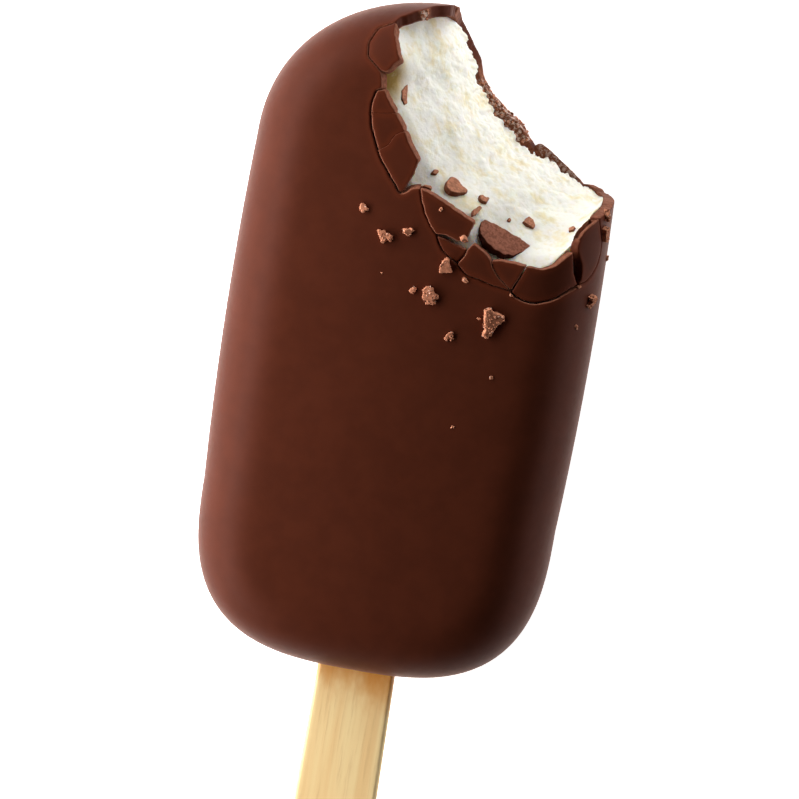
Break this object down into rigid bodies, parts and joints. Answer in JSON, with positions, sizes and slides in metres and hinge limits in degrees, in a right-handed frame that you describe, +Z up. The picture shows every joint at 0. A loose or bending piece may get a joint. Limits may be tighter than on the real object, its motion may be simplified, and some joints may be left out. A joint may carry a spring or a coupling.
{
  "type": "ice cream bar",
  "caption": "Chocolate-coated ice cream bar on a flat wooden stick, lying on its back with a bite out of its far end.",
  "frame": {"origin": "middle of the bar's flat back, where it rests", "axes": "+Z up through the bar to the face that shows, +Y along the bar from the stick to the bitten end, +X towards the bitten side"},
  "size_m": [0.051, 0.1433, 0.0266],
  "materials": {
    "chocolate": "satin milk chocolate",
    "ice_cream": "moist bitten ice cream",
    "wood": "bare birch"
  },
  "bodies": {
    "root": {"ice_cream": "ice_cream", "coating": "chocolate", "front_shard_1": "chocolate", "front_shard_2": "chocolate", "front_shard_3": "chocolate", "front_shard_4": "chocolate", "front_shard_5": "chocolate", "front_shard_6": "chocolate", "front_shard_7": "chocolate", "front_shard_8": "chocolate", "front_shard_9": "chocolate", "front_shard_10": "chocolate", "back_shard": "chocolate", "loose_flake": "chocolate", "stick": "wood"}
  },
  "joints": []
}
